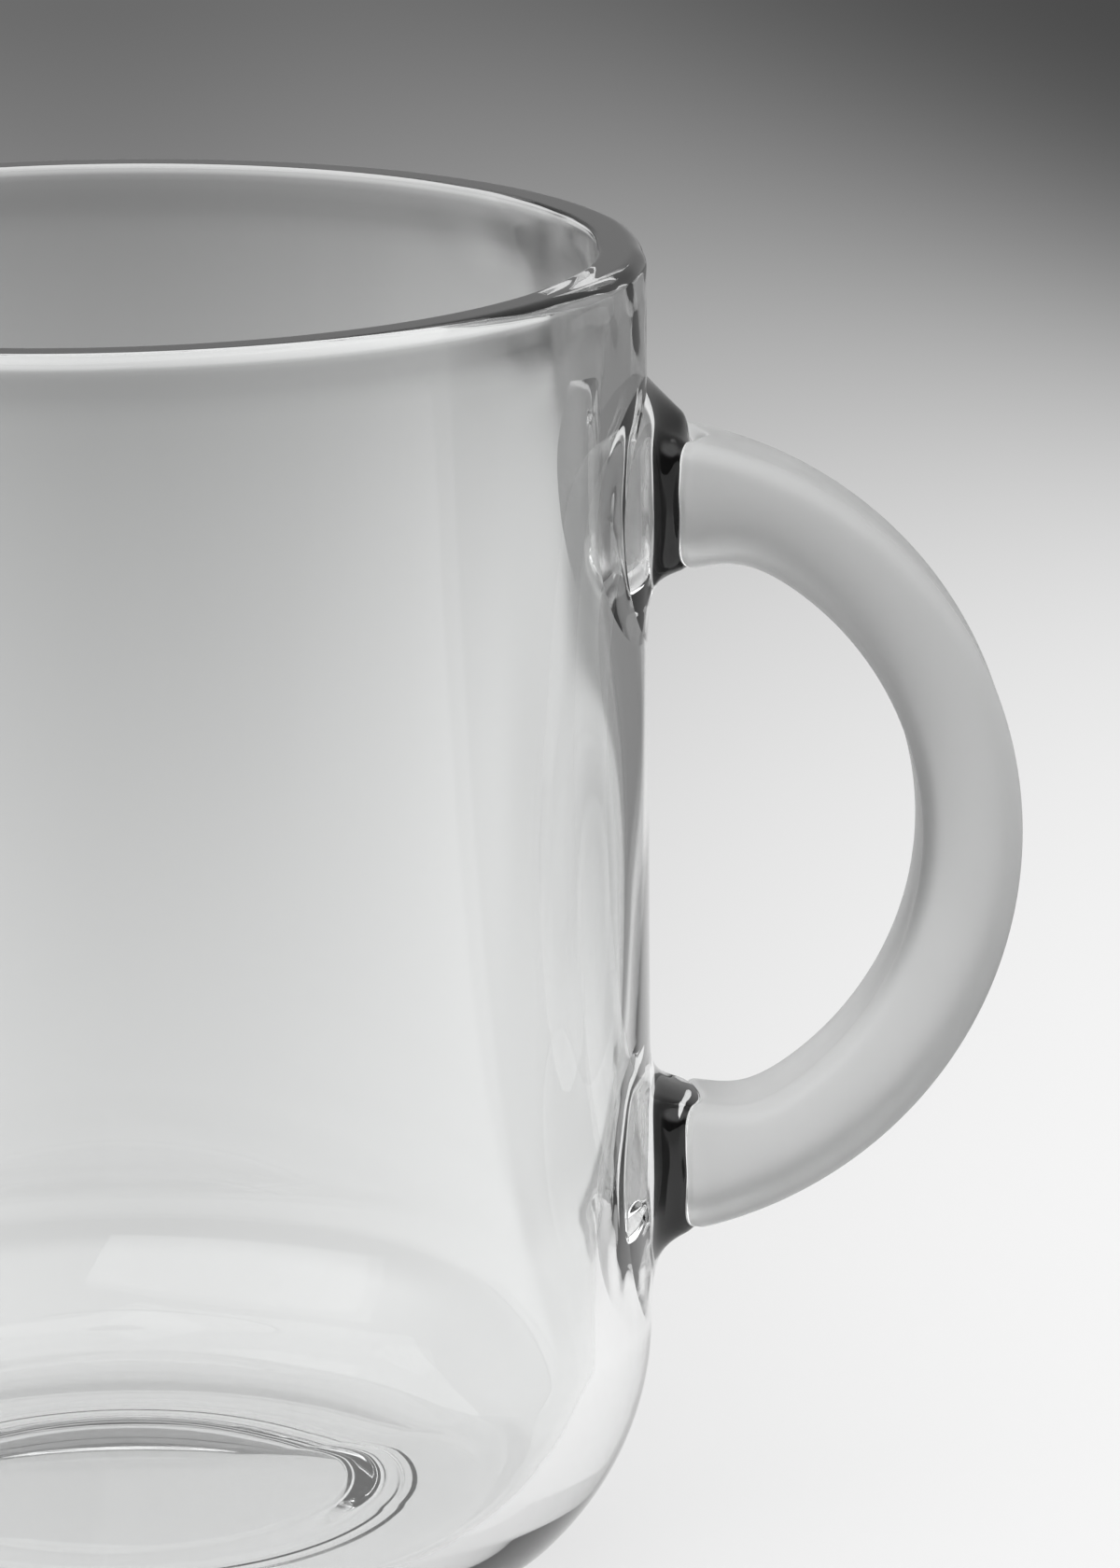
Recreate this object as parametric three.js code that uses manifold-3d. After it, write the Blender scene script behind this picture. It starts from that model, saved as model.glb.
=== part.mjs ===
import * as THREE from 'three';
import { mergeVertices } from 'three/addons/utils/BufferGeometryUtils.js';
import Module from 'manifold-3d';

// A clear glass coffee mug: a turned cup and a C-shaped handle bar that two gobs of glass weld to its wall.
// Millimetres, +Z up. The foot stands on z = 0, and +X points from the cup to the handle.

// Cup
const cupHeight = 97.5; // foot to the top of the rim
const cupRadius = 40; // outside, under the rim
const wallThickness = 3.34; // at the rim, from where the wall thickens down to the heel
const rimCrown = 1.3; // height of the fire-polished round on top of the rim
const outsideDraft = 0.39; // degrees, the outside narrows towards the foot
const heelRadius = 21; // outside round between the wall and the base
const heelTurn = 45.4; // degrees the heel turns under before the tighter base round takes over
const heelThickness = 4.3; // even thickness of the glass round the heel
const baseRound = 8; // outside round between the heel and the flat base
const floorThickness = 5.7; // inside floor above the foot plane
const floorFillet = 5; // inside round between the heel and the floor
const footRadius = 22.5; // outer edge of the foot ring
const footWidth = 1.9; // width of the foot ring, with its chamfer
const footChamfer = 0.5; // radial width of the chamfer on its outer edge
const footLift = 0.3; // height of the base above the foot plane, outside the ring
const puntDepth = 1.5; // height of the hollow under the floor at its step
const puntCrown = 0.2; // further rise of the hollow at the axis
const puntStep = 5; // radial width of the sloping step into the hollow

// Handle bar
const handleDrop = 12.5; // top of the handle ring below the rim
const handleRise = 22.9; // bottom of the handle ring above the foot
const handleInset = 4.2; // the ring's centre lies this far inside the cup's outer radius
const barThickness = 7.34; // in the plane of the ring
const barDepth = 10.4; // across the ring
const barCorner = 2.2; // rounding of the bar's four edges
const endFlare = 2.0; // how far each end thickens towards the finger gap
const flareLength = 4.5; // length of arc over which it thickens

// Weld bosses
const bossStandOff = 3.1; // the weld face in front of the wall
const upperBossSpread = 5.0; // how far the upper gob spreads round the bar on the wall
const lowerBossSpread = 6.0; // the same for the lower gob
const bossCone = 0.57; // share of the spread that is a straight flare, the rest is a round fillet
const bossConePower = 1.3; // how fast that flare opens
const bossRoot = 1.5; // depth to which the gob is drawn behind the wall before it is cut to it
const weldGap = 0.3; // clearance left at each weld

// Fineness of the curved faces
const cupSegments = 72;
const rimSteps = 8;
const heelSteps = 8;
const filletSteps = 5;
const barSteps = 44;
const cornerSteps = 5;
const bossSteps = 9;
const weldTolerance = 1e-4; // vertices closer than this are one

const radians = THREE.MathUtils.degToRad;
const wasm = await Module();
wasm.setup();

// Solids and geometries

function solidOf(geometry) {
  const bare = geometry.clone();
  bare.deleteAttribute('normal');
  bare.deleteAttribute('uv');
  const merged = mergeVertices(bare, weldTolerance);
  const corners = merged.index.array;
  const kept = [];
  for (let i = 0; i < corners.length; i += 3) {
    const [a, b, c] = corners.slice(i, i + 3);
    if (a !== b && b !== c && c !== a) kept.push(a, b, c);
  }
  const vertProperties = new Float32Array(merged.attributes.position.array);
  return new wasm.Manifold(new wasm.Mesh({ numProp: 3, vertProperties, triVerts: new Uint32Array(kept) }));
}

function geometryOf(solid) {
  const { vertProperties, triVerts } = solid.getMesh();
  const geometry = new THREE.BufferGeometry();
  geometry.setAttribute('position', new THREE.BufferAttribute(vertProperties, 3));
  geometry.setIndex(new THREE.BufferAttribute(triVerts, 1));
  geometry.computeVertexNormals();
  return geometry;
}

// A profile of radius and height turned about the vertical axis
function turned(profile) {
  return new THREE.LatheGeometry(profile, cupSegments).rotateX(Math.PI / 2);
}

// A skin over rings of equally many points, closed by a fan at each end
function loft(rings) {
  const count = rings[0].length;
  const points = rings.flat();
  const index = [];
  for (let k = 0; k + 1 < rings.length; k++) {
    for (let i = 0; i < count; i++) {
      const a = k * count + i;
      const b = k * count + ((i + 1) % count);
      index.push(a, b, b + count, a, b + count, a + count);
    }
  }
  const addCap = (ring, first, flip) => {
    const middle = ring.reduce((sum, p) => sum.add(p), new THREE.Vector3()).divideScalar(count);
    const centre = points.push(middle) - 1;
    for (let i = 0; i < count; i++) {
      const a = first + i;
      const b = first + ((i + 1) % count);
      index.push(centre, flip ? b : a, flip ? a : b);
    }
  };
  addCap(rings[0], 0, true);
  addCap(rings.at(-1), (rings.length - 1) * count, false);
  return new THREE.BufferGeometry().setFromPoints(points).setIndex(index);
}

// A rounded rectangle as a closed loop of points, anticlockwise
function roundedRectangle(halfWidth, halfHeight, corner) {
  const loop = [];
  const middles = [[1, 1], [-1, 1], [-1, -1], [1, -1]];
  middles.forEach(([sideX, sideY], quarter) => {
    for (let i = 0; i <= cornerSteps; i++) {
      const angle = (quarter + i / cornerSteps) * Math.PI / 2;
      const x = sideX * (halfWidth - corner) + corner * Math.cos(angle);
      const y = sideY * (halfHeight - corner) + corner * Math.sin(angle);
      loop.push(new THREE.Vector2(x, y));
    }
  });
  return loop;
}

// Points on an arc from one angle to the other, both in degrees and both included
function arc(centre, radius, from, to, steps) {
  return Array.from({ length: steps + 1 }, (_, i) => {
    const angle = radians(from + (to - from) * i / steps);
    return new THREE.Vector2(centre.x + radius * Math.cos(angle), centre.y + radius * Math.sin(angle));
  });
}

// Cup body

const rimLevel = cupHeight - rimCrown; // where the wall ends and the rim's round begins
const outsideSlope = Math.tan(radians(outsideDraft));

function outsideRadiusAt(height) {
  return cupRadius - (rimLevel - height) * outsideSlope;
}

// The heel's arc touches the drafted wall, and the base round touches both the heel and the flat base
const heelRun = heelRadius - baseRound;
const heelHeight = footLift + baseRound + heelRun * Math.sin(radians(heelTurn));
const heelAxis = outsideRadiusAt(heelHeight) - heelRadius / Math.cos(radians(outsideDraft));
const heelCentre = new THREE.Vector2(heelAxis, heelHeight);
const baseRadius = heelCentre.x + heelRun * Math.cos(radians(heelTurn)); // outer edge of the flat base
const baseCentre = new THREE.Vector2(baseRadius, footLift + baseRound);

// The outside from the flat base's edge up the heel and the wall, moved out by a clearance
function outsideProfile(clearance) {
  const base = arc(baseCentre, baseRound + clearance, -90, -heelTurn, filletSteps);
  const heel = arc(heelCentre, heelRadius + clearance, -heelTurn, -outsideDraft, heelSteps);
  return [...base, ...heel.slice(1), new THREE.Vector2(cupRadius + clearance, rimLevel)];
}

// The fire-polished rim, a flattened half round from the outside over to the inside
function rimProfile() {
  const half = wallThickness / 2;
  const round = arc(new THREE.Vector2(cupRadius - half, 0), half, 0, 180, rimSteps);
  return round.map((p) => new THREE.Vector2(p.x, rimLevel + p.y * rimCrown / half));
}

// The inside from the rim to the axis: a straight wall that runs into an arc about the heel's own centre
function insideProfile() {
  const radius = heelRadius - heelThickness;
  const rim = new THREE.Vector2(cupRadius - wallThickness, rimLevel).sub(heelCentre);
  const touch = THREE.MathUtils.radToDeg(rim.angle() - Math.acos(radius / rim.length()));
  const height = floorThickness + floorFillet;
  const drop = heelCentre.y - height;
  const reach = Math.sqrt((radius - floorFillet) ** 2 - drop ** 2);
  const filletCentre = new THREE.Vector2(heelCentre.x + reach, height);
  const turn = THREE.MathUtils.radToDeg(Math.atan2(-drop, reach));
  const heel = arc(heelCentre, radius, touch, turn, heelSteps);
  const fillet = arc(filletCentre, floorFillet, turn, -90, filletSteps);
  return [...heel, ...fillet.slice(1), new THREE.Vector2(0, floorThickness)];
}

function cupBody() {
  const puntRadius = footRadius - footWidth;
  const profile = [
    new THREE.Vector2(0, puntDepth + puntCrown),
    new THREE.Vector2(puntRadius - puntStep, puntDepth),
    new THREE.Vector2(puntRadius, 0),
    new THREE.Vector2(footRadius - footChamfer, 0),
    new THREE.Vector2(footRadius, footLift),
    ...outsideProfile(0),
    ...rimProfile().slice(1),
    ...insideProfile(),
  ];
  return turned(profile);
}

// Handle bar

const ringRadius = (cupHeight - handleDrop - handleRise) / 2; // outside of the handle ring
const ringCentre = new THREE.Vector2(cupRadius - handleInset, handleRise + ringRadius); // X and Z
const ringBore = ringRadius - barThickness;
const weldFace = cupRadius + bossStandOff; // X of the flat face where a boss meets the bar
const barEnd = weldFace + weldGap;

// How far the inside of the bar has swollen towards the finger gap at an angle round the ring
function flareAt(angle) {
  const weldAngle = Math.acos((barEnd - ringCentre.x) / (ringBore - endFlare));
  const start = weldAngle - flareLength / ringBore;
  return endFlare * Math.max(0, (Math.abs(angle) - start) / (weldAngle - start)) ** 2;
}

function handleBar() {
  const overrun = Math.acos((cupRadius - ringCentre.x) / ringRadius);
  const rings = Array.from({ length: barSteps + 1 }, (_, i) => {
    const angle = overrun * (2 * i / barSteps - 1);
    const halfThickness = (barThickness + flareAt(angle)) / 2;
    return roundedRectangle(halfThickness, barDepth / 2, barCorner).map((p) => {
      const radius = ringRadius - halfThickness + p.x;
      const x = ringCentre.x + radius * Math.cos(angle);
      return new THREE.Vector3(x, p.y, ringCentre.y + radius * Math.sin(angle));
    });
  });
  const trimSize = 3 * cupHeight;
  const trim = new THREE.BoxGeometry(trimSize, trimSize, trimSize).translate(barEnd - trimSize / 2, 0, 0);
  return geometryOf(solidOf(loft(rings)).subtract(solidOf(trim)));
}

// Weld bosses

// Each boss is a gob that flares from the bar's end down onto the wall, which cuts its back to the cup's curve
function weldBoss(side, spread) {
  const across = barEnd - ringCentre.x;
  const top = Math.sqrt(ringRadius ** 2 - across ** 2);
  const bottom = Math.sqrt((ringBore - endFlare) ** 2 - across ** 2);
  const height = ringCentre.y + side * (top + bottom) / 2;
  const wallRadius = outsideRadiusAt(height);
  const standOff = weldFace - wallRadius;
  const levels = [-bossRoot, ...Array.from({ length: bossSteps + 1 }, (_, i) => standOff * i / bossSteps)];
  const rings = levels.map((level) => {
    const share = Math.max(0, level) / standOff;
    const open = 1 - share;
    const cone = bossCone * open ** bossConePower;
    const fillet = (1 - bossCone) * (1 - Math.sqrt(1 - open * open));
    const flare = spread * (cone + fillet);
    const section = roundedRectangle(barDepth / 2 + flare, (top - bottom) / 2 + flare, barCorner + flare);
    return section.map((p) => {
      const round = Math.sqrt((wallRadius + level) ** 2 - p.x ** 2);
      const x = THREE.MathUtils.lerp(round, wallRadius + level, share);
      return new THREE.Vector3(x, p.x, height + p.y);
    });
  });
  const inside = [new THREE.Vector2(0, -weldGap), ...outsideProfile(weldGap), new THREE.Vector2(0, cupHeight)];
  return geometryOf(solidOf(loft(rings)).subtract(solidOf(turned(inside))));
}

// Assembly

const group = new THREE.Group();
const handleReach = ringCentre.x + ringRadius - cupRadius;
group.position.x = -handleReach / 2; // the origin is under the middle of the whole mug

function addPiece(name, geometry) {
  const glass = new THREE.MeshStandardMaterial({
    color: 0xe9eeec, roughness: 0.03, metalness: 0, transparent: true, opacity: 0.35,
  });
  const mesh = new THREE.Mesh(geometry, glass);
  mesh.name = name;
  group.add(mesh);
}

addPiece('cup_body', cupBody());
addPiece('upper_weld_boss', weldBoss(1, upperBossSpread));
addPiece('lower_weld_boss', weldBoss(-1, lowerBossSpread));
addPiece('handle_bar', handleBar());

export default group;
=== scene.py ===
import math

import bpy
from mathutils import Matrix, Vector, noise


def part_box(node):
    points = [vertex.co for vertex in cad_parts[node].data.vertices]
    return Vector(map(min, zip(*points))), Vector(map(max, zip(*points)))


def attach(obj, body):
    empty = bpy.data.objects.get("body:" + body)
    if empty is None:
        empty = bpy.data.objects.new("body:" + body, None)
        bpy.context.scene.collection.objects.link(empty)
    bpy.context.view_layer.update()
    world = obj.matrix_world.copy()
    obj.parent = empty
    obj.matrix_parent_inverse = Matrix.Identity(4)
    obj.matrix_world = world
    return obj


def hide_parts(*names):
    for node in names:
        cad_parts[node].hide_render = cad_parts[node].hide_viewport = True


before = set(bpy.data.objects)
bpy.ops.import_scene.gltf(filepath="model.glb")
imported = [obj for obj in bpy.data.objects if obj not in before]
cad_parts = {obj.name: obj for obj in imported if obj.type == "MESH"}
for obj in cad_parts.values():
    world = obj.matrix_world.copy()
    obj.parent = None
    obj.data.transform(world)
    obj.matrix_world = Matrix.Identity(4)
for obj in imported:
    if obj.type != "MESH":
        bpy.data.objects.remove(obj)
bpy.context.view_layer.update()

# Cup
# The real cup is one pressed gob of clear soda glass, fire-polished all over so that every edge is round.
# Its wall is almost straight and runs through a large round heel into a thick floor on a narrow foot ring.
# The handle's two bosses are melted onto the wall, so the wall has melted faces where they stand.
MM = 0.001
cup_low, cup_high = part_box("cup_body")
cup_x = (cup_low[0] + cup_high[0]) / 2
cup_radius = (cup_high[1] - cup_low[1]) / 2
cup_height = cup_high[2]
rim_thickness = 3.46 * MM
rim_outer_round = 1.2 * MM
rim_inner_round = 0.35 * MM
wall_heights = [h * MM for h in (18, 24, 29, 35, 43, 58, 78, 93.2, 96.2)]
wall_sizes = [t * MM for t in (4.3, 4.2, 4.0, 3.8, 3.65, 3.5, 3.38, 3.36, 3.46)]
drawn_height = 52.0 * MM
drawn_below = 19.0 * MM
drawn_above = 14.0 * MM
drawn_out = 0.5 * MM
drawn_turns = (math.radians(14), math.radians(31))
swell_in = 0.16 * MM
swell_turn = math.radians(29)
swell_width = math.radians(7)
swirl_depth = 0.2 * MM
swirl_size = 5.0 * MM
swirl_turn = math.radians(50)
swirl_heights = (89 * MM, 95 * MM)
outside_draft = math.radians(0.39)
heel_radius = 21.0 * MM
heel_turn = math.radians(45.4)
base_round = 8.0 * MM
foot_lift = 0.3 * MM
foot_radius = 22.5 * MM
foot_round = 0.5 * MM
foot_soft = 0.4
heel_thickness = 4.3 * MM
floor_thickness = 5.7 * MM
floor_fillet = 5.0 * MM
punt_radius = 20.3 * MM
punt_step = 3.6 * MM
punt_depth = 2.2 * MM
punt_crown = 0.2 * MM
punt_soft = 0.35
seam_ring = 21.2 * MM
seam_width = 0.22 * MM
seam_depth = 0.07 * MM
columns = 240
patch_cells = 15
crease_angle = math.radians(60)
melted_slot = 1
rows = {
    "hollow": 9,
    "hollow_step": 24,
    "foot_ring": 24,
    "foot_edge": 8,
    "base": 6,
    "base_round": 16,
    "heel": 30,
    "between_bosses": 20,
    "under_rim": 4,
    "rim_outside": 16,
    "rim_top": 7,
    "rim_inside": 10,
    "inside_wall": 80,
    "inside_heel": 30,
    "fillet": 24,
    "floor": 9,
}
middle_part = 10
foot_row_inside = 0.2 * MM
foot_row_outside = 0.3 * MM

rim_level = cup_height - rim_outer_round
up_sign = {"upper": 1, "lower": -1}
boss_levels = {}
for side in up_sign:
    low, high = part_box(side + "_weld_boss")
    boss_levels[side] = (low[2] + high[2]) / 2


def wall_radius(z):
    """Outside radius of the straight wall at height z."""
    return cup_radius - (rim_level - z) * math.tan(outside_draft)


def wall_thickness(z):
    """Thickness of the wall at height z, on a smooth curve through the sizes at the known heights."""
    last = len(wall_heights) - 1
    k = 0
    while k < last - 1 and z > wall_heights[k + 1]:
        k += 1
    slopes = []
    for n in (k, k + 1):
        low, high = max(n - 1, 0), min(n + 1, last)
        slope = (wall_sizes[high] - wall_sizes[low]) / (wall_heights[high] - wall_heights[low])
        slopes.append(slope if 0 < n < last else 0.0)
    step = wall_heights[k + 1] - wall_heights[k]
    t = min(max((z - wall_heights[k]) / step, 0.0), 1.0)
    ease = t * t * (3 - 2 * t)
    bend = slopes[0] * t * (1 - t) ** 2 - slopes[1] * t * t * (1 - t)
    return wall_sizes[k] + (wall_sizes[k + 1] - wall_sizes[k]) * ease + bend * step


def inside_radius(z):
    """Inside radius of the wall at height z."""
    return wall_radius(z) - wall_thickness(z)


base_arc_z = foot_lift + base_round
heel_z = base_arc_z + (heel_radius - base_round) * math.sin(heel_turn)
heel_r = wall_radius(heel_z) - heel_radius / math.cos(outside_draft)
base_radius = heel_r + (heel_radius - base_round) * math.cos(heel_turn)
corner_radius = heel_radius - heel_thickness
fillet_z = floor_thickness + floor_fillet
fillet_r = heel_r + math.sqrt((corner_radius - floor_fillet) ** 2 - (heel_z - fillet_z) ** 2)
fillet_turn = math.atan2(fillet_z - heel_z, fillet_r - heel_r)
wall_start_z = heel_z - heel_radius * math.sin(outside_draft)
wall_start_r = heel_r + heel_radius * math.cos(outside_draft)
wall_length = (rim_level - wall_start_z) / math.cos(outside_draft)


def outside_point(run):
    """(r, z) on the outside at a run up the wall from the heel's top; below zero it is on the heel."""
    if run >= 0:
        r = wall_start_r + run * math.sin(outside_draft)
        return (r, wall_start_z + run * math.cos(outside_draft))
    angle = run / heel_radius - outside_draft
    return (heel_r + heel_radius * math.cos(angle), heel_z + heel_radius * math.sin(angle))


def outside_radius(z):
    """Outside radius at height z, on the wall or the heel."""
    if z >= wall_start_z:
        return wall_radius(z)
    return heel_r + math.sqrt(heel_radius**2 - (heel_z - z) ** 2)


def run_at(z):
    """How far up the wall height z is."""
    return (z - wall_start_z) / math.cos(outside_draft)


def spread(start, end, count):
    """count values from start up to, but without, end."""
    return [start + (end - start) * k / count for k in range(count)]


cell = cup_radius * 2 * math.pi / columns
patch_half = patch_cells * cell
base_run = (outside_draft - heel_turn) * heel_radius


def eased(t, soft):
    """A straight ramp from 0 to 1 whose two ends are rounded over that share of it."""
    slope = 1 / (1 - soft)
    if t < soft:
        return slope * t * t / (2 * soft)
    if t > 1 - soft:
        return 1 - slope * (1 - t) ** 2 / (2 * soft)
    return slope * (t - soft / 2)


# The profile starts in the middle of the hollow under the floor and goes out and up the outside,
# over the rim, down the inside and back to the middle of the floor.
under = []
punt_flat = punt_radius - punt_step
for r in spread(punt_flat / middle_part, punt_flat, rows["hollow"]):
    under.append((r, punt_depth + punt_crown * (1 - (r / punt_flat) ** 2)))
for k in range(rows["hollow_step"] + 1):
    t = k / rows["hollow_step"]
    under.append((punt_flat + punt_step * t, punt_depth * (1 - eased(t, punt_soft))))
for r in spread(punt_radius + foot_row_inside, foot_radius - foot_round, rows["foot_ring"]):
    under.append((r, seam_depth * math.exp(-(((r - seam_ring) / seam_width) ** 2))))
for k in range(rows["foot_edge"] + 1):
    t = k / rows["foot_edge"]
    under.append((foot_radius - foot_round + foot_round * t, foot_lift * eased(t, foot_soft)))
for r in spread(foot_radius + foot_row_outside, base_radius, rows["base"]):
    under.append((r, foot_lift))
for angle in spread(-math.pi / 2, -heel_turn, rows["base_round"]):
    r = base_radius + base_round * math.cos(angle)
    under.append((r, base_arc_z + base_round * math.sin(angle)))
centre_runs = {side: run_at(boss_levels[side]) for side in boss_levels}
patch_starts = {side: centre_runs[side] - patch_half for side in centre_runs}
patch_ends = {side: centre_runs[side] + patch_half for side in centre_runs}
runs = spread(base_run, patch_starts["lower"], rows["heel"])
first_row = {"lower": len(under) + len(runs)}
runs += spread(patch_starts["lower"], patch_ends["lower"], 2 * patch_cells)
runs += spread(patch_ends["lower"], patch_starts["upper"], rows["between_bosses"])
first_row["upper"] = len(under) + len(runs)
runs += spread(patch_starts["upper"], patch_ends["upper"], 2 * patch_cells)
runs += spread(patch_ends["upper"], wall_length, rows["under_rim"])
profile = under + [outside_point(run) for run in runs]
rim_row = len(profile) + rows["rim_outside"] + rows["rim_top"] // 2 + 1
for k in range(rows["rim_outside"] + 1):
    angle = math.pi / 2 * k / rows["rim_outside"]
    r = cup_radius - rim_outer_round * (1 - math.cos(angle))
    profile.append((r, rim_level + rim_outer_round * math.sin(angle)))
rim_in_r = cup_radius - rim_thickness + rim_inner_round
rim_top = spread(cup_radius - rim_outer_round, rim_in_r, rows["rim_top"])
profile += [(r, cup_height) for r in rim_top[1:]]
for k in range(rows["rim_inside"] + 1):
    angle = math.pi / 2 * k / rows["rim_inside"]
    r = rim_in_r - rim_inner_round * math.sin(angle)
    profile.append((r, cup_height - rim_inner_round * (1 - math.cos(angle))))
corner_top_z = heel_z - corner_radius * math.sin(outside_draft)
for z in spread(cup_height - rim_inner_round, corner_top_z, rows["inside_wall"])[1:]:
    profile.append((inside_radius(z), z))
for angle in spread(-outside_draft, fillet_turn, rows["inside_heel"]):
    r = heel_r + corner_radius * math.cos(angle)
    profile.append((r, heel_z + corner_radius * math.sin(angle)))
for k in range(rows["fillet"] + 1):
    angle = fillet_turn - (math.pi / 2 + fillet_turn) * k / rows["fillet"]
    r = fillet_r + floor_fillet * math.cos(angle)
    profile.append((r, fillet_z + floor_fillet * math.sin(angle)))
floor_radii = spread(fillet_r, fillet_r / middle_part, rows["floor"])
profile += [(r, floor_thickness) for r in floor_radii[1:]]


class Skin:
    """Rings of points joined into one closed glass surface, whose melted faces have a slot of their own."""

    def __init__(self):
        self.points = []
        self.faces = []
        self.slots = []

    def point(self, place):
        self.points.append(place)
        return len(self.points) - 1

    def ring(self, places):
        return [self.point(place) for place in places]

    def face(self, corners, slot=0):
        self.faces.append(corners)
        self.slots.append(slot)

    def join(self, ring, following, slot=0):
        for k in range(len(ring)):
            n = (k + 1) % len(ring)
            self.face((ring[k], ring[n], following[n], following[k]), slot)

    def close(self, ring, place, slot=0):
        middle = self.point(place)
        for k in range(len(ring)):
            self.face((ring[k], ring[(k + 1) % len(ring)], middle), slot)

    def piece(self, name, materials, inside_out=False):
        faces = [tuple(reversed(face)) for face in self.faces] if inside_out else self.faces
        mesh = bpy.data.meshes.new(name)
        mesh.from_pydata(self.points, [], faces)
        for material in materials:
            mesh.materials.append(material)
        mesh.polygons.foreach_set("material_index", self.slots)
        mesh.polygons.foreach_set("use_smooth", [True] * len(faces))
        mesh.update()
        mesh.set_sharp_from_angle(angle=crease_angle)
        made = bpy.data.objects.new(name, mesh)
        bpy.context.collection.objects.link(made)
        return made


def turned(r, z, angle):
    """The place at radius r and height z, turned round the cup's axis from the handle's side."""
    return (cup_x + r * math.cos(angle), r * math.sin(angle), z)


# Each boss stands in a square patch of the wall.
# The patch's border runs anticlockwise, as steps across and steps outwards.
border = []
for k in range(2 * patch_cells):
    border.append((k - patch_cells, -patch_cells))
for k in range(2 * patch_cells):
    border.append((patch_cells, k - patch_cells))
for k in range(2 * patch_cells):
    border.append((patch_cells - k, patch_cells))
for k in range(2 * patch_cells):
    border.append((-patch_cells, patch_cells - k))
section_angles = [math.atan2(out, across) for across, out in border]
column_angle = 2 * math.pi / columns

bar_depth = 10.4 * MM
weld_half = 4.88 * MM
front_spread = 8.3 * MM
outer_spread = {"upper": 3.6 * MM, "lower": 7.0 * MM}
inner_spread = 6.0 * MM


def foot_loop(side):
    """Where a boss meets the wall, as (turn, run up the wall) for each section angle."""
    loop = []
    for angle in section_angles:
        half_across = bar_depth / 2 + front_spread
        half_out = weld_half + (outer_spread[side] if angle > 0 else inner_spread)
        far = 1 / math.hypot(math.cos(angle) / half_across, math.sin(angle) / half_out)
        run = centre_runs[side] + far * math.sin(angle) * up_sign[side]
        turn = far * math.cos(angle) / outside_point(run)[0]
        loop.append((turn, run))
    return loop


def patch_places(side, loop, share):
    """The ring on the wall under a boss that is that share of its foot in size."""
    places = []
    for turn, run in loop:
        at_run = centre_runs[side] + (run - centre_runs[side]) * share
        places.append(turned(*outside_point(at_run), turn * share))
    return places


cup = Skin()
made_points = {}


def from_handle(angle):
    """How far round the cup a turn is from the handle, on either side of it."""
    return abs((angle + math.pi) % (2 * math.pi) - math.pi)


def drawn_thin(z, angle):
    """How far the wall's inside is drawn outwards between the bosses, less the swelling beside that."""
    away = from_handle(angle)
    share = min(max((drawn_turns[1] - away) / (drawn_turns[1] - drawn_turns[0]), 0.0), 1.0)
    span = drawn_above if z > drawn_height else drawn_below
    drawn = drawn_out * share * share * (3 - 2 * share)
    swell = swell_in * math.exp(-(((away - swell_turn) / swell_width) ** 2))
    return (drawn - swell) * math.exp(-(((z - drawn_height) / span) ** 2))


def swirled(r, z, angle):
    """The radius r with the slight waves that the handle's heat left in the rim above it."""
    away = from_handle(angle) / swirl_turn
    up = min(max((z - swirl_heights[0]) / (swirl_heights[1] - swirl_heights[0]), 0.0), 1.0)
    place = Vector(turned(r, z, angle)) / swirl_size
    share = max(1 - away * away, 0.0) * up * up * (3 - 2 * up)
    return r + swirl_depth * share * noise.noise(place)


def cup_point(row, column):
    """The grid's point at that row and column, made when first asked for."""
    key = (row, column % columns)
    if key not in made_points:
        r, z = profile[row]
        angle = key[1] * column_angle
        if row > rim_row:
            r += drawn_thin(z, angle)
        made_points[key] = cup.point(turned(swirled(r, z, angle), z, angle))
    return made_points[key]


def in_patch(row, column):
    """True where a boss's patch takes the place of the grid."""
    across = (column + patch_cells) % columns
    ups = [row - first_row[side] for side in first_row]
    return across < 2 * patch_cells and any(0 <= up < 2 * patch_cells for up in ups)


for row in range(len(profile) - 1):
    for column in range(columns):
        if not in_patch(row, column):
            corners = (cup_point(row, column), cup_point(row, column + 1))
            corners += (cup_point(row + 1, column + 1), cup_point(row + 1, column))
            cup.face(corners)
middle = cup.point((cup_x, 0.0, punt_depth + punt_crown))
for column in range(columns):
    cup.face((middle, cup_point(0, column + 1), cup_point(0, column)))
last_ring = [cup_point(len(profile) - 1, column) for column in range(columns)]
cup.close(last_ring, (cup_x, 0.0, floor_thickness))

apron_rings = 8
patch_rings = 7
for side in first_row:
    up = up_sign[side]
    middle_row = first_row[side] + patch_cells
    loop = foot_loop(side)
    rings = [[cup_point(middle_row + up * out, across) for across, out in border]]
    for k in range(1, apron_rings + 1):
        t = k / apron_rings
        places = []
        for (across, out), (turn, run) in zip(border, loop):
            from_turn = across * column_angle
            from_run = centre_runs[side] + up * out * cell
            at_turn = from_turn + (turn - from_turn) * t
            at_run = from_run + (run - from_run) * t
            r, z = outside_point(at_run)
            places.append(turned(swirled(r, z, at_turn), z, at_turn))
        rings.append(cup.ring(places))
    for k in range(1, patch_rings):
        rings.append(cup.ring(patch_places(side, loop, 1 - k / patch_rings)))
    if side == "lower":
        rings = [ring[::-1] for ring in rings]
    for k in range(len(rings) - 1):
        cup.join(rings[k], rings[k + 1], melted_slot if k >= apron_rings else 0)
    cup.close(rings[-1], turned(*outside_point(centre_runs[side]), 0.0), melted_slot)

glass_ior = 1.52
draw_stretch = (1.0, 1.0, 0.35)
grain_scale = 400.0
grain_height = 0.0005 * MM
gloss_share = 0.75


def add_node(owner, kind, place, **values):
    """A node of a material or a world with its input values set."""
    node = owner.node_tree.nodes.new(kind)
    node.location = place
    for name, value in values.items():
        node.inputs[name.replace("_", " ")].default_value = value
    return node


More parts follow.
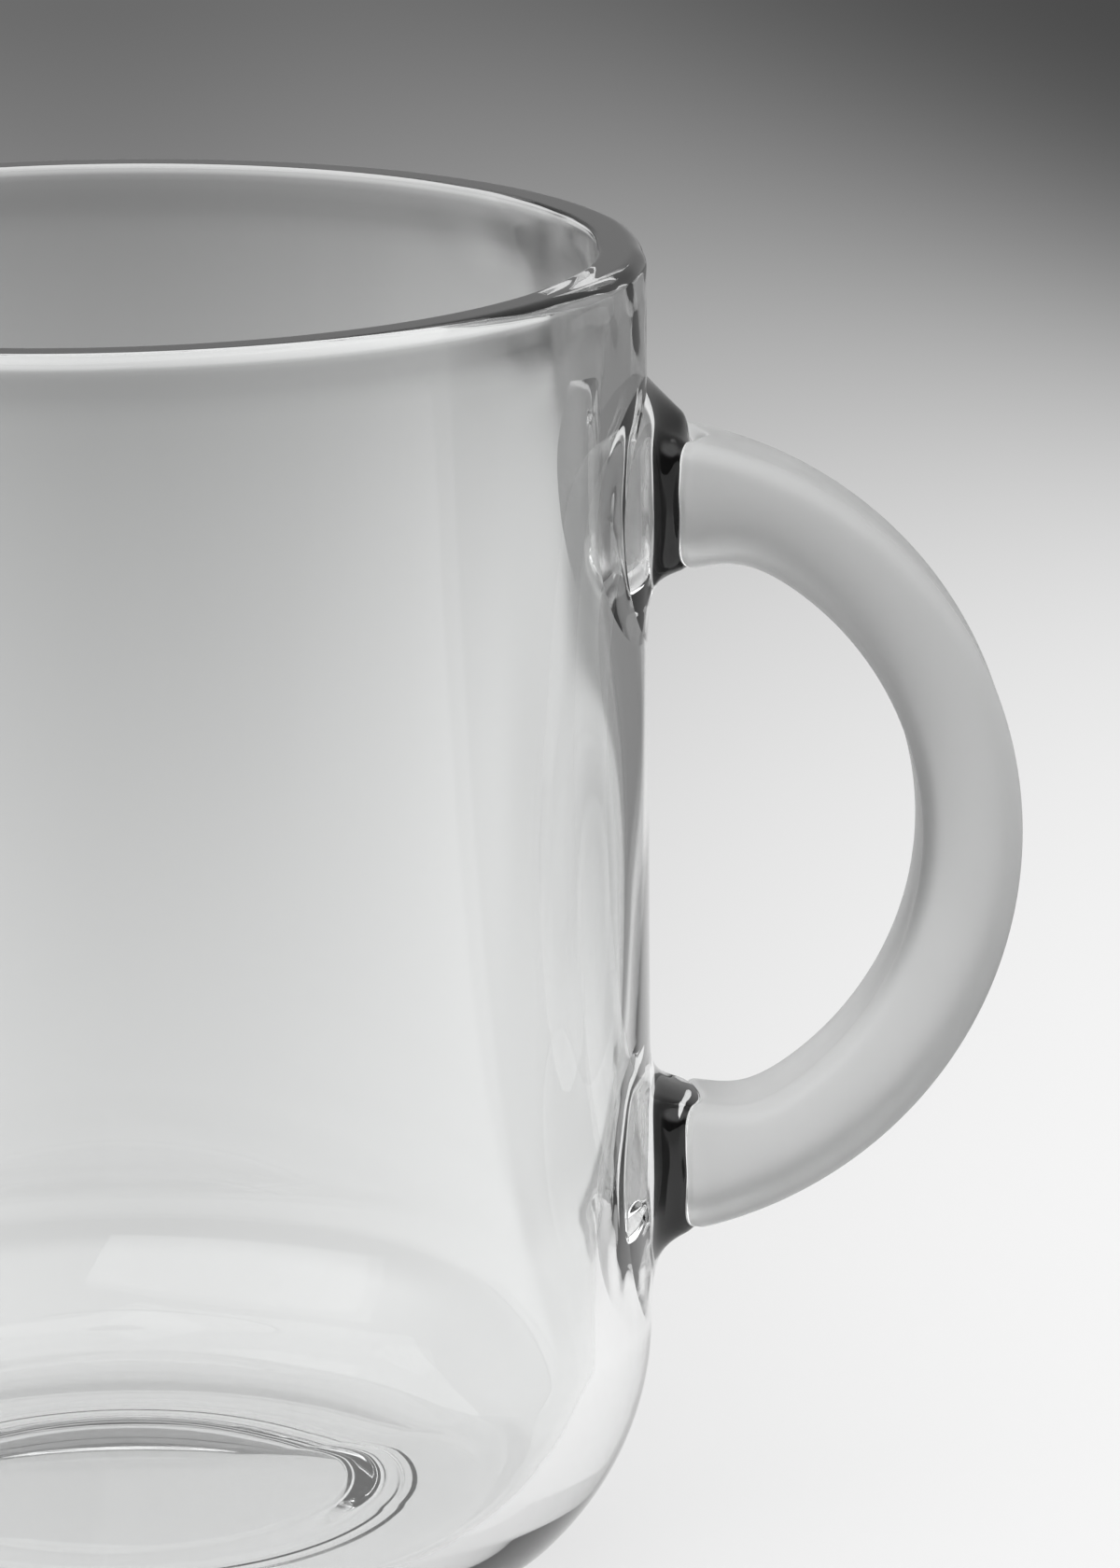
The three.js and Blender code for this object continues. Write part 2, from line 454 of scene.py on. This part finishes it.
def mug_glass(name, wave_scale, wave_height, dullest, tint):
    """Glass with slow waves and fine draw lines left by the mould, polished or satin."""
    material = bpy.data.materials.new(name)
    material.use_nodes = True
    links = material.node_tree.links
    shader = material.node_tree.nodes["Principled BSDF"]
    shader.inputs["Base Color"].default_value = tint
    shader.inputs["IOR"].default_value = glass_ior
    shader.inputs["Transmission Weight"].default_value = 1.0
    place = add_node(material, "ShaderNodeTexCoord", (-1200, 0))
    stretch = add_node(material, "ShaderNodeMapping", (-1000, 0), Scale=draw_stretch)
    links.new(place.outputs["Object"], stretch.inputs["Vector"])
    waves = add_node(material, "ShaderNodeTexNoise", (-800, 150), Scale=wave_scale, Detail=1.0)
    grain = add_node(material, "ShaderNodeTexNoise", (-800, -150), Scale=grain_scale, Detail=2.0)
    links.new(stretch.outputs["Vector"], waves.inputs["Vector"])
    links.new(stretch.outputs["Vector"], grain.inputs["Vector"])
    wave_bump = add_node(material, "ShaderNodeBump", (-500, 150), Strength=1.0, Distance=wave_height)
    grain_bump = add_node(material, "ShaderNodeBump", (-300, 0), Strength=1.0, Distance=grain_height)
    links.new(waves.outputs["Fac"], wave_bump.inputs["Height"])
    links.new(grain.outputs["Fac"], grain_bump.inputs["Height"])
    links.new(wave_bump.outputs["Normal"], grain_bump.inputs["Normal"])
    links.new(grain_bump.outputs["Normal"], shader.inputs["Normal"])
    gloss = add_node(material, "ShaderNodeMapRange", (-500, -250))
    gloss.inputs["To Min"].default_value = gloss_share * dullest
    gloss.inputs["To Max"].default_value = dullest
    links.new(grain.outputs["Fac"], gloss.inputs["Value"])
    links.new(gloss.outputs["Result"], shader.inputs["Roughness"])
    return material


def melted_face(name):
    """The unseen face where two pieces of hot glass have run together: light goes straight through."""
    material = bpy.data.materials.new(name)
    material.use_nodes = True
    shader = material.node_tree.nodes["Principled BSDF"]
    shader.inputs["Base Color"].default_value = (1.0, 1.0, 1.0, 1.0)
    shader.inputs["Alpha"].default_value = 0.0
    return material


clear_tint = (0.96, 0.965, 0.963, 1.0)
polish = 0.012
cup_glass = mug_glass("cup_glass", wave_scale=45.0, wave_height=0.01 * MM, dullest=polish, tint=clear_tint)
melted = melted_face("melted_face")
cup_piece = cup.piece("cup", [cup_glass, melted])
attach(cup_piece, "root")
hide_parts("cup_body")

# Handle bar
# The real bar is a glass gob of its own, pressed to a rounded oblong section and bent to part of a ring.
# It is satin, greyer and more even than the cup. Its ends swell a little and are melted onto the bosses,
# which leaves a fine bright line all round each weld.
bar_low, bar_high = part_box("handle_bar")
ring_outer = (bar_high[2] - bar_low[2]) / 2
ring_z = (bar_high[2] + bar_low[2]) / 2
ring_x = bar_high[0] - ring_outer
bar_thickness = 7.34 * MM
bar_corner = 1.3 * MM
bar_crown = 0.4 * MM
end_flare = 2.0 * MM
flare_length = 4.5 * MM
seam_reach = 43.3 * MM
seam_sag = 1.35 * MM
groove_width = 0.4 * MM
groove_front = 0.22 * MM
groove_outer = {"upper": 1.3 * MM, "lower": 0.35 * MM}
groove_uneven = 0.35
outer_power = 8
weld_wander = 0.12 * MM
wander_rate = 1.4
wander_seed = {"upper": 3.0, "lower": 9.0}
weld_rounds = 40
bar_half_turn = 1.32
bar_length = ring_outer * 2 * bar_half_turn
fine_step = 0.06 * MM
fine_steps = 16
wider_step = 1.0 * MM
wider_growth = 1.2
weld_zone = 4.0 * MM
coarse_steps = 120


def bar_half(turn, end_turn):
    """Half the bar's thickness where it has turned that far round the ring."""
    left = (end_turn - abs(turn)) * ring_outer
    swell = math.exp(-((max(left, 0.0) / flare_length) ** 2))
    return (bar_thickness + end_flare * swell) / 2


def wander(angle, side):
    """Slow uneven drift round a weld, from -1 to 1."""
    place = (wander_rate * math.cos(angle), wander_rate * math.sin(angle), wander_seed[side])
    return 2 * noise.noise(Vector(place))


def groove_depth(angle, side):
    """How deep the weld's groove is on that side of the section."""
    outer = max(math.sin(angle), 0.0) ** outer_power
    even = groove_front + (groove_outer[side] - groove_front) * outer
    return even * (1 + groove_uneven * wander(angle, side))


def reach(angle, half_across, half_out, corner):
    """Distance from the middle of a rounded rectangle to its edge in the direction angle."""
    across = abs(math.cos(angle))
    out = abs(math.sin(angle))
    mid_across = half_across - corner
    mid_out = half_out - corner
    if half_across * out <= mid_out * across:
        return half_across / across
    if half_out * across <= mid_across * out:
        return half_out / out
    along = across * mid_across + out * mid_out
    return along + math.sqrt(along * along - mid_across**2 - mid_out**2 + corner**2)


def bar_point(angle, turn, end_turn, sunk):
    """A point of the bar's skin, sunk that far into its groove: (radius from the ring's middle, y)."""
    half = bar_half(turn, end_turn)
    far = reach(angle, bar_depth / 2, half, bar_corner) - sunk
    out = far * math.sin(angle)
    sunk_side = bar_crown * (out / half) ** 2
    across = far * math.cos(angle) * (1 - sunk_side / (bar_depth / 2))
    return (ring_outer - half + out, across)


def end_turn_of(angle, side):
    """How far round the ring the bar's skin reaches the weld, for that section angle."""
    nominal = math.acos((cup_x + seam_reach - ring_x) / (ring_outer - bar_thickness / 2))
    turn = nominal
    for _ in range(weld_rounds):
        radius, y = bar_point(angle, turn, nominal, groove_depth(angle, side))
        sag = seam_sag * (y / (bar_depth / 2)) ** 2
        seam_x = cup_x + seam_reach - sag + weld_wander * wander(angle, side)
        turn = math.acos((seam_x - ring_x) / radius)
    return nominal, turn


weld_turns = {side: [end_turn_of(angle, side) for angle in section_angles] for side in first_row}


def bar_ring(from_upper, grooved=1.0):
    """The bar's ring of points at a share of the way from the upper weld to the lower one."""
    places = []
    side = "upper" if from_upper <= 0.5 else "lower"
    to_weld = min(from_upper, 1 - from_upper) * bar_length
    for k, angle in enumerate(section_angles):
        nominal = weld_turns[side][k][0]
        top = weld_turns["upper"][k][1]
        bottom = -weld_turns["lower"][k][1]
        turn = top + (bottom - top) * from_upper
        sunk = grooved * groove_depth(angle, side) * math.exp(-((to_weld / groove_width) ** 2))
        radius, y = bar_point(angle, turn, nominal, sunk)
        places.append((ring_x + radius * math.cos(turn), y, ring_z + radius * math.sin(turn)))
    return places


fine = [fine_step * k for k in range(fine_steps)]
step = wider_step
while step < weld_zone:
    fine.append(step)
    step *= wider_growth
shares = [place / bar_length for place in fine]
shares += [shares[-1] + (1 - 2 * shares[-1]) * k / coarse_steps for k in range(1, coarse_steps)]
shares += [1 - share for share in reversed(shares[: len(fine)])]
bar = Skin()
bar_rings = [bar_ring(share) for share in shares]
seam_places = {"upper": bar_rings[0], "lower": bar_rings[-1]}
lip_places = {"upper": bar_ring(0.0, 0.0), "lower": bar_ring(1.0, 0.0)}


def cap_rings(places):
    """Rings that shrink a closed loop of places towards its middle, and that middle."""
    middle = sum((Vector(place) for place in places), Vector()) / len(places)
    shrunk = []
    for k in range(1, patch_rings):
        shrunk.append([middle.lerp(Vector(place), 1 - k / patch_rings) for place in places])
    return shrunk, middle


made = [bar.ring(places) for places in bar_rings]
for k in range(len(made) - 1):
    bar.join(made[k], made[k + 1])
for side, end in (("upper", made[0]), ("lower", made[-1])):
    shrunk, middle = cap_rings(seam_places[side])
    rings = [end] + [bar.ring(places) for places in shrunk]
    if side == "upper":
        rings = [ring[::-1] for ring in rings]
    for k in range(len(rings) - 1):
        bar.join(rings[k], rings[k + 1], melted_slot)
    bar.close(rings[-1], middle, melted_slot)
satin_tint = (0.765, 0.77, 0.767, 1.0)
satin = 0.5
bar_glass = mug_glass("bar_glass", wave_scale=60.0, wave_height=0.01 * MM, dullest=satin, tint=satin_tint)
handle_piece = bar.piece("handle", [bar_glass, melted])
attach(handle_piece, "root")
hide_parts("handle_bar")

# Weld bosses
# Each real boss is a small gob of hot glass between the wall and the bar's end, drawn out thin onto the wall.
# It is clear like the cup, with a low uneven mound at its foot. It is melted into the wall and the bar,
# so light goes through its two joints and only its own curved flank shows.
boss_glass = mug_glass("boss_glass", wave_scale=150.0, wave_height=0.03 * MM, dullest=polish, tint=clear_tint)
boss_steps = 44
ring_crowding = 2.5
front_decay = {"upper": 1.4 * MM, "lower": 2.2 * MM}
mound = {"upper": 0.4 * MM, "lower": 0.2 * MM}
mound_flatness = 4
mottle_height = 0.03 * MM
mottle_size = 2.2 * MM
outer_decay = {"upper": 1.4 * MM, "lower": 2.4 * MM}
inner_decay = {"upper": 1.6 * MM, "lower": 1.7 * MM}
outer_cone = {"upper": 1.0, "lower": 0.0}
lip_rise = {"upper": 0.8 * MM, "lower": 0.0 * MM}


def flank_rise(angle, side, share):
    """Height of a boss's flank, as a share of the whole, at a share of the way from the weld to the foot."""
    end_weight = math.sin(angle) ** 2
    outwards = angle > 0
    end_decay = outer_decay[side] if outwards else inner_decay[side]
    end_spread = outer_spread[side] if outwards else inner_spread
    decay = front_decay[side] + (end_decay - front_decay[side]) * end_weight
    width = front_spread + (end_spread - front_spread) * end_weight
    cone = outer_cone[side] * end_weight**2 if outwards else 0.0
    curve = math.exp(-share * width / decay) * (1 - share) ** 2
    return cone * (1 - share) + (1 - cone) * curve


for side in first_row:
    loop = foot_loop(side)
    boss = Skin()
    rings = []
    for k in range(boss_steps + 1):
        share = (1 - k / boss_steps) ** ring_crowding
        places = []
        starts = zip(section_angles, loop, seam_places[side], lip_places[side])
        for angle, (turn, run), seam, lip in starts:
            foot_z = outside_point(run)[1]
            seam_r = math.hypot(seam[0] - cup_x, seam[1])
            seam_level = seam_r - outside_radius(seam[2])
            rise = flank_rise(angle, side, share)
            sunk = math.exp(-(((1 - rise) * seam_level / groove_width) ** 2))
            lift = up_sign[side] * lip_rise[side] * max(math.sin(angle), 0.0) ** outer_power
            lifted = Vector(lip) + Vector((0.0, 0.0, lift))
            start = lifted.lerp(Vector(seam), sunk)
            start_turn = math.atan2(start[1], start[0] - cup_x)
            z = start[2] + (foot_z - start[2]) * share
            at_turn = start_turn + (turn - start_turn) * share
            height = seam_level * rise
            height += mound[side] * math.cos(angle) ** 2 * (1 - rise) * (1 - share**mound_flatness)
            place = Vector(turned(outside_radius(z) + height, z, at_turn))
            mottle = mottle_height * noise.noise(place / mottle_size)
            height += mottle * 4 * share * (1 - share) * (1 - sunk)
            places.append(turned(outside_radius(z) + height, z, at_turn))
        rings.append(boss.ring(places))
    for k in range(boss_steps):
        boss.join(rings[k], rings[k + 1])
    shrunk, middle = cap_rings(seam_places[side])
    seam_rings = [rings[-1]] + [boss.ring(places) for places in shrunk]
    for k in range(len(seam_rings) - 1):
        boss.join(seam_rings[k], seam_rings[k + 1], melted_slot)
    boss.close(seam_rings[-1], middle, melted_slot)
    patch = [rings[0]]
    for k in range(1, patch_rings):
        patch.append(boss.ring(patch_places(side, loop, 1 - k / patch_rings)))
    patch = [ring[::-1] for ring in patch]
    for k in range(len(patch) - 1):
        boss.join(patch[k], patch[k + 1], melted_slot)
    boss.close(patch[-1], turned(*outside_point(centre_runs[side]), 0.0), melted_slot)
    boss_piece = boss.piece(side + "_weld", [boss_glass, melted], inside_out=side == "lower")
    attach(boss_piece, "root")
    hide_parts(side + "_weld_boss")

# Floor
# A flat floor of pale card whose colour is a painted pool of light, near white round the mug, with painted
# shade straight behind it.
# The painted light falls to grey behind the mug and at its sides, and a little in front of it, and is lighter
# again far behind.
# The floor glows in that colour for camera, glossy and transmission rays; a small matt share keeps the mug's
# real soft shadow.
floor_size = 3.0
floor_drop = 0.05 * MM
floor_mesh = bpy.data.meshes.new("floor")
floor_signs = ((-1, -1), (1, -1), (1, 1), (-1, 1))
floor_corners = [(x * floor_size, y * floor_size, -floor_drop) for x, y in floor_signs]
floor_mesh.from_pydata(floor_corners, [], [(0, 1, 2, 3)])
floor = bpy.data.objects.new("floor", floor_mesh)
bpy.context.collection.objects.link(floor)
# Painted light: the numbers below paint a pool of light into the floor's colour, near white round the mug,
# darker straight behind the mug than beside it (painted shade), and dim farther back.
pool_x = cup_x + 0.7 * MM
pool_core = 20 * MM
pool_start = 152.0 * MM
pool_lean = 6.63
pool_fade = 210.9 * MM
pool_sharpen = 558.0 * MM
pool_bend = 2.579
bend_across = 0.1
bend_behind = 0.5
pool_edge = 100 * MM
pool_edge_lean = 0.088
pool_front_lean = 3.0
pool_edge_fade = 4 * MM
pool_back = 774 * MM
pool_back_fade = 12 * MM
pool_front = 130 * MM
pool_front_fade = 25 * MM
# The next two numbers are the painted pool's dimmest and brightest levels; the three greys after them are
# painted levels it turns to: lighter far behind, painted shade at the sides and in front.
painted_pool_dim = 0.059
painted_pool_bright = 0.86
far_painted_level = 0.42
front_painted_shade = 0.65
side_painted_shade = 0.24
own_light = 0.87
highest_power = 40.0
sweep = bpy.data.materials.new("sweep")
sweep.use_nodes = True
sweep_nodes = sweep.node_tree.nodes
sweep_links = sweep.node_tree.links
sweep_nodes.remove(sweep_nodes["Principled BSDF"])


def sum_node(operation, place, first, second):
    """A maths node of the sweep; an input is a number or another node's output."""
    node = add_node(sweep, "ShaderNodeMath", place)
    node.operation = operation
    for socket, value in zip(node.inputs, (first, second)):
        if isinstance(value, (int, float)):
            socket.default_value = value
        else:
            sweep_links.new(value, socket)
    return node.outputs["Value"]


sweep_place = add_node(sweep, "ShaderNodeTexCoord", (-2000, 0))
sweep_split = add_node(sweep, "ShaderNodeSeparateXYZ", (-1800, 0))
sweep_links.new(sweep_place.outputs["Object"], sweep_split.inputs["Vector"])
behind = sweep_split.outputs["Y"]
across = sum_node("SUBTRACT", (-1700, -100), sweep_split.outputs["X"], pool_x)
across = sum_node("MULTIPLY", (-1650, -100), across, across)
across = sum_node("ADD", (-1600, -100), across, pool_core**2)
across = sum_node("SQRT", (-1500, -100), across, 0.0)
leaning = sum_node("MULTIPLY", (-1450, 50), across, pool_lean)
depth = sum_node("SUBTRACT", (-1400, 100), behind, leaning)
depth = sum_node("SUBTRACT", (-1350, 100), depth, pool_start)
depth = sum_node("DIVIDE", (-1300, 100), depth, pool_fade)
sharpen = sum_node("DIVIDE", (-1400, -50), across, pool_sharpen)
sharpen = sum_node("EXPONENT", (-1300, -50), sharpen, 0.0)
depth = sum_node("MULTIPLY", (-1200, 100), depth, sharpen)
bend = sum_node("MULTIPLY", (-1400, -200), across, across)
bend = sum_node("MULTIPLY", (-1300, -200), bend, behind)
bend = sum_node("MULTIPLY", (-1200, -200), bend, pool_bend / (bend_across**2 * bend_behind))
fade = sum_node("EXPONENT", (-1000, 0), sum_node("ADD", (-1100, 0), depth, bend), 0.0)
lean = sum_node("MULTIPLY", (-1600, -300), behind, pool_edge_lean)
front_lean = sum_node("MULTIPLY", (-1600, -350), behind, -pool_front_lean)
lean = sum_node("MAXIMUM", (-1500, -300), lean, front_lean)
edge = sum_node("SUBTRACT", (-1450, -350), sweep_split.outputs["X"], lean)
edge = sum_node("SUBTRACT", (-1400, -350), edge, pool_edge + cup_x)
edge = sum_node("DIVIDE", (-1300, -350), edge, pool_edge_fade)
edge = sum_node("MINIMUM", (-1250, -350), edge, highest_power)
edge = sum_node("ADD", (-1100, -350), sum_node("EXPONENT", (-1200, -350), edge, 0.0), 1.0)
back = sum_node("SUBTRACT", (-1400, -420), behind, pool_back)
back = sum_node("DIVIDE", (-1300, -420), back, pool_back_fade)
back = sum_node("MINIMUM", (-1250, -420), back, highest_power)
back = sum_node("ADD", (-1100, -420), sum_node("EXPONENT", (-1200, -420), back, 0.0), 1.0)
front = sum_node("ADD", (-1400, -500), behind, pool_front)
front = sum_node("DIVIDE", (-1300, -500), front, -pool_front_fade)
front = sum_node("ADD", (-1100, -500), sum_node("EXPONENT", (-1200, -500), front, 0.0), 1.0)
# The floor's colour is built here: the painted pool of light, turned to the painted greys far behind, at the
# sides and in front.
level = sum_node("DIVIDE", (-900, 0), painted_pool_bright, sum_node("ADD", (-950, 0), fade, 1.0))
level = sum_node("ADD", (-850, 0), level, painted_pool_dim)
level = sum_node("DIVIDE", (-800, 0), sum_node("SUBTRACT", (-825, 0), level, side_painted_shade), edge)
level = sum_node("ADD", (-750, 0), level, side_painted_shade)
level = sum_node("DIVIDE", (-700, 0), sum_node("SUBTRACT", (-725, 0), level, far_painted_level), back)
level = sum_node("ADD", (-675, 0), level, far_painted_level)
level = sum_node("DIVIDE", (-625, 0), sum_node("SUBTRACT", (-650, 0), level, front_painted_shade), front)
level = sum_node("ADD", (-600, 0), level, front_painted_shade)
rays = add_node(sweep, "ShaderNodeLightPath", (-900, 400))
seen = sum_node("MAXIMUM", (-700, 400), rays.outputs["Is Camera Ray"], rays.outputs["Is Glossy Ray"])
seen = sum_node("MAXIMUM", (-600, 300), seen, rays.outputs["Is Transmission Ray"])
glow = add_node(sweep, "ShaderNodeEmission", (-300, 150))
sweep_links.new(level, glow.inputs["Color"])
sweep_links.new(sum_node("MULTIPLY", (-450, 250), seen, own_light), glow.inputs["Strength"])
matt = add_node(sweep, "ShaderNodeBsdfDiffuse", (-300, -100))
sweep_links.new(sum_node("MULTIPLY", (-450, -100), level, 1 - own_light), matt.inputs["Color"])
both = add_node(sweep, "ShaderNodeAddShader", (-100, 0))
sweep_links.new(glow.outputs["Emission"], both.inputs[0])
sweep_links.new(matt.outputs["BSDF"], both.inputs[1])
sweep_links.new(both.outputs["Shader"], sweep_nodes["Material Output"].inputs["Surface"])
floor_mesh.materials.append(sweep)

# Light
# The room is dark low in front, bright higher up in front, and an even grey behind the mug.
# One large soft light hangs over the mug, and a smaller one stands in front of it at the left.
world = bpy.data.worlds.new("studio")
world.use_nodes = True
world_links = world.node_tree.links
sky = world.node_tree.nodes["Background"]
bpy.context.scene.world = world
back_grey = 0.42
front_dark = 0.12
front_light = 1.5
dark_top = 0.1
light_bottom = 0.35
back_soft = 0.25
sky_place = add_node(world, "ShaderNodeTexCoord", (-1000, 0))
sky_split = add_node(world, "ShaderNodeSeparateXYZ", (-800, 0))
world_links.new(sky_place.outputs["Generated"], sky_split.inputs["Vector"])
front_up = add_node(world, "ShaderNodeMapRange", (-600, 150), From_Min=dark_top, From_Max=light_bottom)
front_up.inputs["To Min"].default_value = front_dark
front_up.inputs["To Max"].default_value = front_light
front_up.interpolation_type = "SMOOTHSTEP"
world_links.new(sky_split.outputs["Z"], front_up.inputs["Value"])
to_back = add_node(world, "ShaderNodeMapRange", (-600, -150), From_Min=-back_soft, From_Max=back_soft)
to_back.interpolation_type = "SMOOTHSTEP"
world_links.new(sky_split.outputs["Y"], to_back.inputs["Value"])
sky_mix = add_node(world, "ShaderNodeMix", (-300, 0), B=back_grey)
world_links.new(to_back.outputs["Result"], sky_mix.inputs["Factor"])
world_links.new(front_up.outputs["Result"], sky_mix.inputs["A"])
world_links.new(sky_mix.outputs["Result"], sky.inputs["Color"])


def soft_light(name, place, target, width, height, power):
    """A rectangular soft light that faces a point."""
    lamp = bpy.data.lights.new(name, "AREA")
    lamp.shape = "RECTANGLE"
    lamp.size = width
    lamp.size_y = height
    lamp.energy = power
    made = bpy.data.objects.new(name, lamp)
    made.location = place
    made.rotation_euler = (Vector(target) - Vector(place)).to_track_quat("-Z", "Y").to_euler()
    bpy.context.collection.objects.link(made)


soft_light("overhead", (-0.15, 0.25, 1.1), target=(0.0, 0.1, 0.0), width=2.0, height=2.0, power=10.5)
soft_light("left", (-0.43, -0.61, 0.4), target=(0.0, 0.0, 0.05), width=1.2, height=0.5, power=1.4)

# Camera
# It stands a little above the rim and looks slightly down, with a long lens.
# Its place, turns and lens were fitted to the rim's two arcs, the wall's edge and the ring in the floor.
camera_data = bpy.data.cameras.new("camera")
camera_data.sensor_fit = "VERTICAL"
camera_data.sensor_height = 36.0
camera_data.lens = 268.76
camera_data.clip_end = 20.0
camera = bpy.data.objects.new("camera", camera_data)
bpy.context.collection.objects.link(camera)
camera_yaw = math.radians(-2.288)
camera_pitch = math.radians(-12.9635)
camera_roll = math.radians(0.7831)
camera_place = (cup_x, -832.74 * MM, 249.16 * MM)
turn_yaw = Matrix.Rotation(camera_yaw, 4, "Z")
turn_pitch = Matrix.Rotation(math.pi / 2 + camera_pitch, 4, "X")
turn_roll = Matrix.Rotation(-camera_roll, 4, "Z")
camera.matrix_world = Matrix.Translation(camera_place) @ turn_yaw @ turn_pitch @ turn_roll
bpy.context.scene.camera = camera
bpy.context.scene.view_settings.view_transform = "Standard"
cycles = bpy.context.scene.cycles
most_bounces = 32
cycles.max_bounces = most_bounces
cycles.transmission_bounces = most_bounces
cycles.transparent_max_bounces = most_bounces
